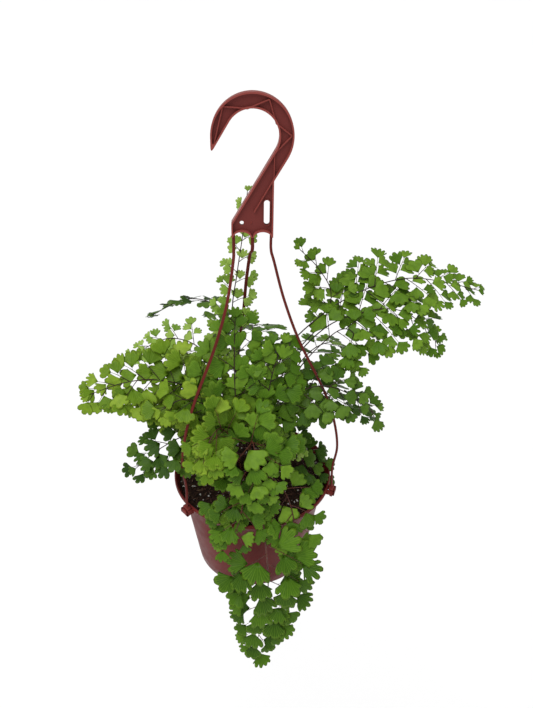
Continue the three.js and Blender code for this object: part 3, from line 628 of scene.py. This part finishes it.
def make_hanger():
    slot, collar = slot_outline(SLOT_RADIUS), slot_outline(COLLAR_RADIUS)
    hole = arc(HOLE_AT, HOLE_RADIUS, 0, 360 * (HOLE_CORNERS - 1) / HOLE_CORNERS, HOLE_CORNERS - 1)
    rim, inside = hook_with_arches(0), hook_with_arches(RAIL)
    # The web takes the darker copy of the maroon: painted shade in the recess.
    plate_piece("hook_web", "web", ([hook_with_arches(WEB_INSET), slot, hole], WEB, WEB_EASE))
    # The rails and the slot's border take the lighter copy: painted highlight.
    plate_piece("hook_rails", "ridge", ([rim, inside], PLATE_DEPTH, RAIL_EASE),
                ([collar, slot], COLLAR_DEPTH, COLLAR_EASE))
    ribs = Builder()
    for chain in RIB_CHAINS:
        for start, end in zip(chain, chain[1:]):
            rib_box(ribs, [c * MM for c in start], [c * MM for c in end])
    nub = [NUB_AT + Vector((0, y * MM, 0)) for y, _ in NUB_PROFILE]
    ribs.tube(nub, [r * MM for _, r in NUB_PROFILE], sides=20)
    # The ribs and the nub take the lighter copy too: painted highlight.
    rib_obj = ribs.make("hook_ribs", "ridge")
    auto_smooth(rib_obj, 35)
    finish_piece(rib_obj, "hanger_plastic", "hanger")

    for name, azimuth, x in zip(("leg_right", "leg_left", "leg_back"), LEG_AZIMUTHS, (LEG_X, -LEG_X, 0)):
        leg = Builder()
        points = leg_path(azimuth, x)
        path = [along_curve(points, i / LEG_STEPS) for i in range(LEG_STEPS + 1)]
        turn = math.radians(azimuth)
        tangent = Vector((-math.sin(turn), math.cos(turn), 0))
        leg.tube(path, LEG_RADIUS, sides=12, flat=LEG_FLATNESS, start_side=tangent)
        for depth, width, height, middle, eased in CLIP_BLOCKS:
            leg.rounded_box((depth, width, height), (CLIP_RADIUS, 0, middle), turn, eased)
        piece = leg.make("hanger_" + name, "hanger")
        auto_smooth(piece, 35)
        finish_piece(piece, "hanger_plastic", "hanger")


# ------------------------------------------------------------------ curves

def along_curve(points, t):
    """A point on the smooth curve through the points, at a parameter from 0 to 1."""
    last = len(points) - 1
    i = min(int(t * last), last - 1)
    w = t * last - i
    p1, p2 = points[i], points[i + 1]
    p0 = points[i - 1] if i > 0 else 2 * p1 - p2
    p3 = points[i + 2] if i + 2 <= last else 2 * p2 - p1
    v1, v2 = (p2 - p0) / 2, (p3 - p1) / 2
    return (2 * p1 - 2 * p2 + v1 + v2) * w ** 3 + (3 * p2 - 3 * p1 - 2 * v1 - v2) * w ** 2 + v1 * w + p1


class Path:
    """A smooth curve read by its share of length."""

    STEPS = 160
    AHEAD = 0.004

    def __init__(self, points):
        self.samples = [along_curve(points, i / self.STEPS) for i in range(self.STEPS + 1)]
        self.reach = [0.0]
        for a, b in zip(self.samples, self.samples[1:]):
            self.reach.append(self.reach[-1] + (b - a).length)

    def at(self, share):
        wanted = max(0.0, min(1.0, share)) * self.reach[-1]
        low, high = 0, len(self.reach) - 1
        while high - low > 1:
            mid = (low + high) // 2
            if self.reach[mid] <= wanted:
                low = mid
            else:
                high = mid
        span = self.reach[high] - self.reach[low]
        part = (wanted - self.reach[low]) / span if span else 0
        return self.samples[low].lerp(self.samples[high], part)

    def way(self, share):
        return (self.at(min(1, share + self.AHEAD)) - self.at(max(0, share - self.AHEAD))).normalized()


# ------------------------------------------------------------------ soil and crown

def soil_height(x, y):
    """Height of the soil's surface, with its lumps."""
    slope = SOIL_FALL * max(0.0, math.hypot(x, y) - CROWN_RADIUS) / (RIM_RADIUS - CROWN_RADIUS)
    lumps = noise.fractal(Vector((x, y, 0.3)) * LUMP_SCALE, 0.7, 2.2, 5) * LUMP_HEIGHT
    return SOIL_TOP - slope + lumps


def spot_on_soil(rng, margin):
    """A random place on the soil, spread evenly over it, and not nearer its edge than the margin."""
    r, angle = (SOIL_RADIUS - margin) * math.sqrt(rng.random()), rng.uniform(0, 2 * math.pi)
    return r * math.cos(angle), r * math.sin(angle)


def make_soil():
    ball = Builder()
    rings, segments = SOIL_RINGS, SOIL_SEGMENTS
    points, faces = [Vector((0, 0, soil_height(0, 0)))], []
    for i in range(1, rings + 1):
        r = SOIL_RADIUS * i / rings
        for k in range(segments):
            angle = 2 * math.pi * k / segments
            x, y = r * math.cos(angle), r * math.sin(angle)
            points.append(Vector((x, y, soil_height(x, y))))
    for k in range(segments):
        faces.append((0, 1 + k, 1 + (k + 1) % segments))
    for i in range(rings - 1):
        for k in range(segments):
            a, b = 1 + i * segments + k, 1 + i * segments + (k + 1) % segments
            faces.append((a, a + segments, b + segments, b))
    # The ball's side and underside, just inside the pot.
    for z in (-SHOULDER_DROP, SOIL_BOTTOM):
        radius = pot_outside(z) - POT_WALL - SOIL_GAP
        start = len(points) - segments
        for k in range(segments):
            angle = 2 * math.pi * k / segments
            points.append(Vector((radius * math.cos(angle), radius * math.sin(angle), z)))
        for k in range(segments):
            n = (k + 1) % segments
            faces.append((start + k, start + segments + k, start + segments + n, start + n))
    start = len(points) - segments
    points.append(Vector((0, 0, SOIL_BOTTOM)))
    for k in range(segments):
        faces.append((len(points) - 1, start + (k + 1) % segments, start + k))
    ball.add(points, faces)
    finish_piece(ball.make("soil_ball", "soil"), "potting_soil", "soil")
    rng = random.Random(11)
    scatter_chips(rng)
    scatter_grains(rng)


def scatter_chips(rng):
    """Bent fibres of coir that lie on the soil."""
    chips = Builder()
    for _ in range(CHIPS):
        x, y = spot_on_soil(rng, 1.5 * MM)
        length = rng.uniform(1.2, 5.5) * MM
        width = rng.uniform(0.35, 1.0) * MM
        heading, pitch = rng.uniform(0, 2 * math.pi), rng.uniform(-0.45, 0.45)
        level = math.cos(pitch)
        way = Vector((math.cos(heading) * level, math.sin(heading) * level, math.sin(pitch)))
        centre = Vector((x, y, soil_height(x, y) + rng.uniform(0.0, 0.9) * MM))
        bend = way.orthogonal().normalized() * length * rng.uniform(-0.12, 0.12)
        path = [centre - way * length / 2, centre + bend, centre + way * length / 2]
        if max(math.hypot(p.x, p.y) for p in path) > SOIL_RADIUS:
            continue
        chips.tube(path, [width * 0.3, width * 0.5, width * 0.2], sides=5, flat=0.55,
                   tint=rng.random() ** 1.5)
    finish_piece(chips.make("soil_coir_chips", "chips", smooth=False), "potting_soil")


def scatter_grains(rng):
    """White grains of perlite among the chips."""
    grains = Builder()
    for _ in range(GRAINS):
        x, y = spot_on_soil(rng, 2 * MM)
        size = rng.uniform(0.45, 1.25) * MM
        add_grain(grains, Vector((x, y, soil_height(x, y) + 0.5 * MM)), size, rng)
    finish_piece(grains.make("soil_perlite_grains", "perlite"), "potting_soil")


def add_grain(builder, centre, size, rng):
    """A lumpy grain: a small ball pushed in and out."""
    rings, segments = 4, 7
    points = [centre + UP * size * rng.uniform(0.6, 0.9)]
    for i in range(1, rings):
        for k in range(segments):
            polar, angle = math.pi * i / rings, 2 * math.pi * k / segments
            push = size * rng.uniform(0.7, 1.1)
            points.append(centre + push * Vector((math.sin(polar) * math.cos(angle),
                                                  math.sin(polar) * math.sin(angle), 0.8 * math.cos(polar))))
    points.append(centre - UP * size * 0.7)
    faces = [(0, 1 + k, 1 + (k + 1) % segments) for k in range(segments)]
    for i in range(rings - 2):
        for k in range(segments):
            a, b = 1 + i * segments + k, 1 + i * segments + (k + 1) % segments
            faces.append((a, a + segments, b + segments, b))
    base = 1 + (rings - 2) * segments
    faces += [(len(points) - 1, base + (k + 1) % segments, base + k) for k in range(segments)]
    builder.add(points, faces, rng.random())


def crown_top(radius):
    share = min(1.0, radius / CROWN_RADIUS)
    return SOIL_TOP + 0.3 * MM + CROWN_HEIGHT * math.sqrt(1 - share * share)


def make_crown():
    """The rhizome: a low mound of overlapping scales and old stalk bases."""
    rng = random.Random(5)
    crown = Builder()
    for i in range(CROWN_SCALES):
        r = (CROWN_RADIUS - 2 * MM) * math.sqrt((i + 0.5) / CROWN_SCALES)
        angle = i * GOLDEN_TURN
        base = Vector((r * math.cos(angle), r * math.sin(angle), crown_top(r) - 1.6 * MM))
        lean = Vector((math.cos(angle), math.sin(angle), 0)) * rng.uniform(0.1, 0.9)
        way = (UP + lean + Vector((rng.uniform(-0.5, 0.5), rng.uniform(-0.5, 0.5), 0))).normalized()
        length = rng.uniform(2.0, 4.2) * MM
        path = [base, base + way * length * 0.5, base + way * length]
        crown.tube(path, [0.9 * MM, 0.75 * MM, 0.12 * MM], sides=6, flat=0.5, tint=rng.random())
    finish_piece(crown.make("crown_rhizome", "crown"), "crown_fibre", "crown")


# ------------------------------------------------------------------ fern

# Each frond: name, stalk points, the share of the stalk where its blade starts, sprays in the frame, longest
# spray, leaflet, the way the blade looks, tone (bright and dark are painted light and painted shade, pale is
# a young frond's own paler green), how long its first sprays are as a share, and droop.
# Points and lengths are millimetres, points from the middle of the rim. Each stalk starts in the crown.
FRONDS = [
    ("left", [(-10, -6, 0), (-27, -12, 62), (-52, -15, 102), (-82, -20, 116), (-109, -25, 116),
              (-137, -30, 108)],
     0.4, 13, 33, 17, (0, -0.8, 0.6), "bright", 0.9, 0.15),
    ("back_left", [(-6, 9, 0), (-14, 34, 75), (-28, 58, 138), (-58, 68, 150), (-96, 75, 130)],
     0.5, 7, 26, 15, (0, 0.35, 1), "dark", 0.8, 0.15),
    ("left_young", [(-14, 3, 0), (-24, 14, 62), (-42, 25, 114), (-74, 31, 128), (-112, 35, 108)],
     0.46, 10, 24, 9.5, (-0.1, -0.6, 0.7), "pale", 0.9, 0.15),
    ("tall_young", [(-3, 11, 0), (-13, 22, 78), (-18, 30, 150), (-13, 33, 192), (-8, 35, 226), (-4, 35, 262)],
     0.5, 10, 16, 9, (0, -1, 0.3), "pale", 0.9, 0.15),
    ("right_high", [(8, 3, 0), (14, 5, 62), (26, 8, 122), (58, 19, 156), (96, 30, 176), (134, 38, 184),
                    (170, 44, 178), (203, 48, 168)],
     0.62, 9, 34, 13, (0.1, -0.5, 0.85), "mid", 0.9, 0.15),
    ("right_low", [(14, -1, 0), (18, 0, 60), (32, 2, 114), (62, 9, 150), (96, 13, 164), (125, 17, 164),
                   (150, 20, 148), (166, 20, 128)],
     0.6, 8, 36, 14, (0.1, -0.6, 0.8), "mid", 0.9, 0.15),
    ("right", [(12, -6, 0), (18, -15, 54), (32, -23, 98), (58, -29, 116), (84, -32, 108), (104, -35, 92)],
     0.45, 8, 28, 14, (0.1, -0.6, 0.8), "dark", 0.9, 0.15),
    ("front_upright", [(-4, -7, 0), (-10, -22, 60), (-14, -30, 100), (-15, -24, 140), (-14, -14, 172)],
     0.3, 9, 42, 18, (0, -1, 0.3), "mid", 0.6, 0.15),
    ("front_left", [(-9, -10, 0), (-17, -34, 60), (-26, -54, 90), (-34, -66, 88), (-40, -78, 72)],
     0.36, 9, 31, 18, (0, -0.75, 0.65), "bright", 0.9, 0.15),
    ("front_middle", [(0, -11, 0), (-2, -36, 54), (0, -58, 80), (4, -74, 70), (8, -84, 46)],
     0.3, 10, 36, 18, (0, -0.75, 0.65), "mid", 0.9, 0.15),
    ("left_near", [(-12, -7, 0), (-22, -22, 56), (-38, -32, 96), (-58, -38, 108), (-76, -42, 100)],
     0.42, 7, 26, 18, (-0.1, -0.8, 0.6), "bright", 0.8, 0.15),
    ("right_near", [(5, -8, 0), (8, -20, 58), (13, -28, 104), (18, -26, 132), (26, -18, 150)],
     0.4, 8, 30, 17, (0.1, -0.9, 0.5), "mid", 0.8, 0.15),
    ("lower_left", [(-14, -9, 0), (-32, -22, 42), (-54, -32, 66), (-80, -40, 58), (-102, -45, 40)],
     0.42, 7, 26, 15, (0, -0.5, 0.85), "dark", 0.9, 0.15),
    ("front_short", [(-6, -14, 0), (-8, -44, 26), (-8, -72, 26), (-14, -88, 8), (-27, -92, -4)],
     0.5, 5, 20, 15, (0, -0.85, 0.5), "mid", 0.9, 0.15),
    ("front_right", [(6, -13, 0), (18, -42, 26), (30, -66, 26), (36, -78, 6), (36, -82, -26)],
     0.45, 6, 22, 15, (0.1, -0.85, 0.5), "mid", 0.9, 0.15),
    ("trailing", [(2, -14, 0), (5, -48, 28), (8, -78, 20), (12, -90, -14), (14, -92, -60),
                  (10, -90, -104), (2, -86, -154)],
     0.4, 8, 32, 19, (0, -0.8, 0.6), "mid", 0.9, 0.1),
    ("right_low_dark", [(14, -4, 0), (28, -8, 26), (44, -8, 30), (60, -10, 14), (66, -12, 0)],
     0.4, 5, 20, 14, (0.1, -0.4, 0.9), "dark", 0.9, 0.15),
    ("young_middle", [(9, -8, 0), (14, -18, 30), (22, -26, 52), (34, -28, 50), (44, -26, 40)],
     0.45, 6, 13, 8, (0, -0.6, 0.8), "pale", 0.9, 0.15),
    ("back", [(0, 12, 0), (0, 36, 62), (0, 66, 98), (0, 100, 104), (0, 134, 84)],
     0.4, 8, 36, 16, (0, 0.3, 1), "mid", 0.9, 0.15),
    ("back_right", [(8, 9, 0), (26, 32, 60), (52, 60, 92), (80, 88, 92), (106, 112, 70)],
     0.4, 7, 34, 16, (0.2, 0.2, 1), "mid", 0.9, 0.15),
    ("back_far_left", [(-9, 8, 0), (-30, 34, 48), (-56, 62, 72), (-84, 88, 66), (-110, 108, 40)],
     0.4, 7, 34, 16, (-0.2, 0.2, 1), "dark", 0.9, 0.15),
    ("right_back", [(13, 4, 0), (36, 16, 46), (64, 28, 68), (94, 38, 60), (118, 44, 36)],
     0.4, 7, 30, 15, (0.2, 0, 1), "dark", 0.9, 0.15),
    ("back_low", [(4, 13, 0), (14, 44, 30), (20, 72, 30), (24, 92, 4), (26, 100, -34)],
     0.42, 6, 26, 15, (0, 0.8, 0.5), "mid", 0.9, 0.15),
    ("right_inner", [(11, 5, 0), (18, 9, 60), (32, 14, 112), (62, 22, 150), (68, 26, 176),
                     (56, 28, 198), (40, 30, 214)],
     0.66, 7, 18, 12, (0, -0.6, 0.8), "mid", 0.9, 0.15),
    ("right_hanging", [(16, 2, 0), (24, 6, 58), (40, 6, 108), (68, 4, 146), (82, 0, 154), (88, -4, 144),
                       (88, -6, 122)],
     0.72, 5, 20, 15, (0, -0.75, 0.65), "mid", 0.9, 0.15),
    ("low_middle", [(-6, -12, 0), (-12, -34, 26), (-18, -54, 34), (-20, -66, 22), (-22, -74, 6)],
     0.32, 7, 26, 17, (0, -0.7, 0.7), "mid", 0.9, 0.15),
]

STALK_RADIUS = 0.8 * MM
STALK_STEPS = 60
STALK_SINK = 0.6 * MM  # how far a stalk's foot is under the crown's top
SPRAY_RADIUS = 0.4 * MM
SPRAY_STEPS = 6
SPRAY_ANGLE = 62
SPRAY_ANGLE_LOSS = 28
SIDE_TURN = 58  # a side leaflet's angle to its spray, and how much of it is lost by the end
SIDE_TURN_LOSS = 14
SPACING = 0.5  # between leaflets, as a share of their size
FULLNESS = 1.45  # sprays shown for each one in the frame
DENSE = 1.9  # the same for the trailing frond
LEAFLET_SCALE = 1.2
END_LEAFLET = 0.55
RED_STALKS = -60  # fronds that end further forward than this have redder stalks
TURN_TO_LIGHT = 0.75  # how far a leaflet turns from its spray's plane towards the way the blade looks
TIP_SHRINK = 0.42  # how much smaller a blade's last leaflets are
# Painted light and shade: how much lighter some fronds are where the light falls on them, and how much darker
# others are, than their tone.
PAINTED_LIGHT_SHADE = {"right_high": 0.32, "right_low": 0.2, "right_inner": 0.3, "right_hanging": 0.1, "right": 0.22,
           "front_middle": 0.12, "front_upright": 0.08, "front_left": -0.05, "low_middle": -0.1,
           "trailing": -0.22}
FAN = math.radians(52)
COLUMNS = 24
ROWS = 5
LEAF_HALF_MM = 0.12  # half of a leaflet's thickness, in millimetres


def squared(face, along):
    """The part of a direction that is square to another."""
    return (face - along * face.dot(along)).normalized()


def leaflet(builder, base, way, look, size, rng, tint):
    """A fan-shaped leaflet, lobed, toothed and lightly cupped: a closed sheet, thinnest at its edge."""
    across = way.cross(look)
    lobes = rng.choice((3, 3, 4, 4, 5))
    phase = rng.uniform(-0.12, 0.12)
    cup = rng.uniform(-0.16, 0.2)
    bend = rng.uniform(-0.25, 0.08)
    fold = rng.uniform(-0.05, 0.12)
    spread = FAN * rng.uniform(0.9, 1.12)
    deep = rng.uniform(0.26, 0.42)
    grid, uv = [], []
    for i in range(ROWS + 1):
        share = 0.03 + 0.97 * (i / ROWS) ** 0.85
        for k in range(COLUMNS + 1):
            turn = -1 + 2 * k / COLUMNS
            wave = abs(math.sin(math.pi * lobes * ((turn + 1) / 2 + phase)))
            edge = 1 - 0.05 * turn * turn - 0.2 * turn ** 6 - deep * (1 - wave ** 0.35) * share ** 3
            edge -= 0.02 * (k % 2) * share ** 4
            angle = spread * turn * (0.86 + 0.14 * share)
            r = size * share * edge
            x, y = r * math.sin(angle), r * math.cos(angle)
            lift = size * (cup * (x / size) ** 2 + bend * (y / size) ** 2 + fold * abs(x / size))
            lift += size * 0.02 * math.sin(9 * turn + 5 * phase) * share * share
            grid.append(base + way * y + across * x + look * lift)
            uv.append(((turn + 1) / 2, share))
    width = COLUMNS + 1
    points, coords, upper, lower = [], [], {}, {}
    for i in range(ROWS + 1):
        for k in range(width):
            index = i * width + k
            rim = i in (0, ROWS) or k in (0, COLUMNS)
            if rim:
                upper[index] = lower[index] = len(points)
                points.append(grid[index])
                coords.append(uv[index])
            else:
                for side, store in ((1, upper), (-1, lower)):
                    store[index] = len(points)
                    points.append(grid[index] + look * side * LEAF_HALF_MM * MM)
                    coords.append(uv[index])
    faces = []
    for i in range(ROWS):
        for k in range(COLUMNS):
            a, b = i * width + k, i * width + k + 1
            quad = (a, b, b + width, a + width)
            faces.append(tuple(upper[q] for q in reversed(quad)))
            faces.append(tuple(lower[q] for q in quad))
    builder.add(points, faces, tint, coords)


def grow_frond(index, name, stalk, blade, sprays, reach, leaf_size, face, tone, first, droop):
    """A stalk with sprays to left and right of its blade and one leaflet at its end, as two pieces."""
    rng = random.Random(100 + index)
    x, y, _ = stalk[0]
    points = [Vector((x * MM, y * MM, crown_top(math.hypot(x, y) * MM) - STALK_SINK))]
    points += [Vector(p) * MM for p in stalk[1:]]
    curve = Path(points)
    reach, leaf_size = reach * MM, leaf_size * MM
    look_at = Vector(face).normalized()
    stems, leaves = Builder(), Builder()
    radii = [STALK_RADIUS * (1.05 - 0.65 * i / STALK_STEPS) for i in range(STALK_STEPS + 1)]
    stems.tube([curve.at(i / STALK_STEPS) for i in range(STALK_STEPS + 1)], radii, sides=8)
    rows = []
    fuller = round(sprays * (DENSE if name == "trailing" else FULLNESS))
    for i in range(fuller):
        share = (i + 0.5) / fuller
        side = 1 if i % 2 else -1
        swell = min(1, first + 2.2 * share) * (1 - share) ** 0.7 + 0.12
        angle = side * (SPRAY_ANGLE - SPRAY_ANGLE_LOSS * share)
        size = leaf_size * (1 - TIP_SHRINK * share * share)
        rows.append((blade + (1 - blade) * share, angle, reach * swell, size))
    # Painted light and shade: the frond's tint is moved lighter for sunlit fronds and darker for some others.
    tint = 0.5 + PAINTED_LIGHT_SHADE.get(name, 0)
    for at, angle, length, size in rows:
        foot, along = curve.at(at), curve.way(at)
        flat_face = squared(look_at, along)
        swing = math.radians(angle + rng.uniform(-6, 6))
        out = along * math.cos(swing) + along.cross(flat_face) * math.sin(swing)
        grow_spray(stems, leaves, foot, out, flat_face, look_at, length, size, droop, tint, rng)
    way = curve.way(1)
    end_tint = rng.uniform(0.5, 0.9)
    leaflet(leaves, curve.at(1), way, squared(look_at, way), leaf_size * END_LEAFLET, rng, end_tint)
    blade_piece = leaves.make("frond_" + name + "_leaflets", tone)
    stalk_look = "stalk_red" if stalk[-1][1] < RED_STALKS else "stalk"
    stalk_piece = stems.make("frond_" + name + "_stalk", stalk_look)
    finish_piece(blade_piece, "leaf_" + tone, "frond_" + name)
    finish_piece(stalk_piece, "crown_fibre", "frond_" + name)


def grow_spray(stems, leaves, foot, out, look, light, length, leaf_size, droop, tint, rng):
    """A drooping side stem with leaflets on alternate sides and one at its end."""
    count = max(1, round(length / (SPACING * leaf_size)))

    def at(s):
        return foot + out * length * s - UP * droop * length * s * s

    radii = [SPRAY_RADIUS - 0.04 * MM * i for i in range(SPRAY_STEPS + 1)]
    stems.tube([at(i / SPRAY_STEPS) for i in range(SPRAY_STEPS + 1)], radii, sides=6)
    for j in range(count):
        s = (j + 1) / count
        way = (at(s) - at(max(0.0, s - 0.2))).normalized()
        flat = squared(look, way)
        side = 1 if j % 2 else -1
        turn = 0 if j == count - 1 else side * math.radians(SIDE_TURN - SIDE_TURN_LOSS * s)
        turn += rng.uniform(-0.16, 0.16)
        aim = way * math.cos(turn) + way.cross(flat) * math.sin(turn)
        tilt = Vector((rng.uniform(-0.3, 0.3), rng.uniform(-0.3, 0.3), rng.uniform(-0.2, 0.3)))
        facing = (flat.lerp(light, TURN_TO_LIGHT) + tilt).normalized()
        aim = squared(aim, facing)
        size = leaf_size * (1.0 - 0.25 * s if count > 1 else 1.0) * rng.uniform(0.85, 1.15)
        base = at(s) + aim * 0.12 * size
        petiole = [at(s), (at(s) + base) / 2 + facing * 0.03 * size, base]
        stems.tube(petiole, [0.28 * MM, 0.22 * MM, 0.2 * MM], sides=5)
        own_tint = min(1, max(0, rng.gauss(tint, 0.2)))
        leaflet(leaves, base, aim, facing, size * LEAFLET_SCALE, rng, own_tint)


# ------------------------------------------------------------------ studio

FLOOR_REACH = 60
FLOOR_Z = -1.3
SENSOR = 36
# The photograph's focal length and height, in pixels.
FOCAL_PIXELS, PHOTO_HEIGHT = 650, 708


def make_studio():
    world = bpy.data.worlds.new("studio")
    world.use_nodes = True
    background = world.node_tree.nodes["Background"]
    background.inputs["Color"].default_value = (1, 1, 1, 1)
    background.inputs["Strength"].default_value = 0.56
    bpy.context.scene.world = world
    sun = bpy.data.lights.new("soft_sun", "SUN")
    sun.energy = 2.0
    sun.angle = math.radians(50)
    lamp = bpy.data.objects.new("soft_sun", sun)
    lamp.rotation_euler = Vector((0.35, 0.5, -1)).to_track_quat("-Z", "Y").to_euler()
    bpy.context.scene.collection.objects.link(lamp)
    floor_mesh = bpy.data.meshes.new("studio_floor")
    far, low = FLOOR_REACH, FLOOR_Z
    corners = [(-far, -far, low), (far, -far, low), (far, far, low), (-far, far, low)]
    floor_mesh.from_pydata(corners, [], [(0, 1, 2, 3)])
    floor = bpy.data.objects.new("studio_floor", floor_mesh)
    pale = Nodes("studio_pale", 0.9, Specular_IOR_Level=0.1)
    pale.colour(pale.ramp(pale.noise(0.6, 2), (0.3, (0.93, 0.93, 0.93)), (0.7, (0.95, 0.95, 0.95))))
    floor_mesh.materials.append(pale.material)
    bpy.context.scene.collection.objects.link(floor)


def make_camera():
    data = bpy.data.cameras.new("camera")
    data.sensor_width = SENSOR
    data.lens = FOCAL_PIXELS / PHOTO_HEIGHT * SENSOR
    data.shift_x = 0.020
    camera = bpy.data.objects.new("camera", data)
    camera.location = (0, -0.4847, 0.0840)
    camera.rotation_euler = (math.radians(59.4), 0, 0)
    bpy.context.scene.collection.objects.link(camera)
    bpy.context.scene.camera = camera


make_pot()
make_hanger()
make_soil()
make_crown()
for number, row in enumerate(FRONDS):
    grow_frond(number, *row)
make_studio()
make_camera()
bpy.context.scene.view_settings.view_transform = "Standard"
